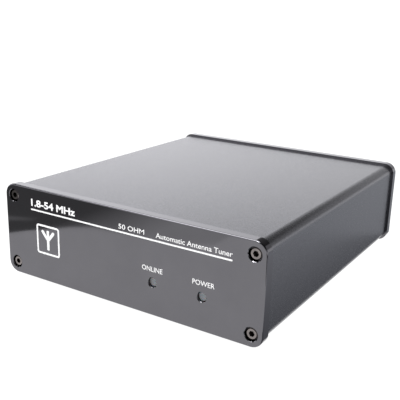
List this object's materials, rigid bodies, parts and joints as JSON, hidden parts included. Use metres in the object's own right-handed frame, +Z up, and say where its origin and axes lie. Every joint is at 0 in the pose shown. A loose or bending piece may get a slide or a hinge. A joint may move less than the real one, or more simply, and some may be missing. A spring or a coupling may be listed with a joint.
{
  "type": "antenna tuner",
  "caption": "Black box-shaped automatic antenna tuner: extruded sleeve between thick end panels, with coaxial sockets, ground terminal and control socket at the rear.",
  "frame": {"origin": "middle of the footprint, on the surface the feet stand on", "axes": "+Z up, +Y towards the rear panel and its sockets, so the front panel faces -Y"},
  "size_m": [0.15, 0.1876, 0.051],
  "materials": {
    "anodised_sleeve": "black anodised extrusion, fine matt grain",
    "anodised_panel": "black anodised plate, satin",
    "black_steel": "black oxide",
    "foot_rubber": "soft, matt",
    "white_print": "screen-printed ink",
    "lamp_resin": "diffused clear resin",
    "tinned_wire": "tinned",
    "nickel_plate": "nickel plated brass",
    "white_insulator": "turned fluoropolymer",
    "gilt_contact": "gilt",
    "bright_steel": "zinc plated",
    "plated_brass": "nickel plated, cast",
    "socket_plastic": "moulded, black",
    "circuit_board": "glass-fibre laminate with green resist",
    "relay_case": "moulded, sealed",
    "capacitor_glaze": "dipped coating",
    "chip_plastic": "moulded epoxy",
    "crystal_can": "drawn can",
    "capacitor_can": "sleeved can",
    "wire_cover": "insulated wire",
    "iron_powder": "painted iron powder core",
    "ferrite": "sintered ferrite",
    "enamelled_copper": "enamelled copper wire"
  },
  "bodies": {
    "case": {"air_coil_1": "enamelled_copper", "air_coil_2": "enamelled_copper", "air_coil_3": "enamelled_copper", "air_coil_4": "enamelled_copper", "antenna_lead": "wire_cover", "antenna_socket_contact": "gilt_contact", "antenna_socket_insulator": "white_insulator", "antenna_socket_shell": "nickel_plate", "capacitor_relays": "relay_case", "case_sleeve": "anodised_sleeve", "clock_crystal": "crystal_can", "control_socket_body": "socket_plastic", "control_socket_contacts": "gilt_contact", "control_socket_ring": "nickel_plate", "front_legend": "white_print", "front_panel": "anodised_panel", "front_panel_screws": "black_steel", "ground_lead": "wire_cover", "ground_lock_washer": "bright_steel", "ground_lug": "tinned_wire", "ground_nut": "bright_steel", "ground_stud": "bright_steel", "inductor_core_1": "iron_powder", "inductor_core_2": "iron_powder", "inductor_core_3": "iron_powder", "inductor_relays": "relay_case", "inductor_winding_1": "enamelled_copper", "inductor_winding_2": "enamelled_copper", "inductor_winding_3": "enamelled_copper", "led_leads": "tinned_wire", "main_board": "circuit_board", "microcontroller": "chip_plastic", "network_side_relay": "relay_case", "online_led": "lamp_resin", "power_led": "lamp_resin", "rear_legend": "white_print", "rear_panel": "anodised_panel", "rear_panel_screws": "black_steel", "relay_drivers": "chip_plastic", "rubber_feet": "foot_rubber", "sense_core_1": "ferrite", "sense_core_2": "ferrite", "sense_winding_1": "enamelled_copper", "sense_winding_2": "enamelled_copper", "socket_screws": "bright_steel", "supply_capacitors": "capacitor_can", "transceiver_lead": "wire_cover", "transceiver_socket_contact": "gilt_contact", "transceiver_socket_insulator": "white_insulator", "transceiver_socket_shell": "nickel_plate", "tuning_capacitors": "capacitor_glaze", "voltage_regulator": "chip_plastic"},
    "terminal_washer": {"ground_washer": "bright_steel"},
    "terminal_wing_nut": {"wing_nut": "plated_brass"}
  },
  "joints": [
    {"name": "washer_slide", "type": "slide", "parent": "case", "child": "terminal_washer", "axis": [0, 1, 0], "range_m": [0, 0.00577]},
    {"name": "wing_nut_turn", "type": "hinge", "parent": "terminal_washer", "child": "terminal_wing_nut", "pos_m": [0.017, 0.08132, 0.027], "axis": [0, 1, 0], "range_deg": [0, 2970]}
  ],
  "couplings": [
    {"joint": "washer_slide", "follows": "wing_nut_turn", "m_per_rad": 0.00011141}
  ]
}
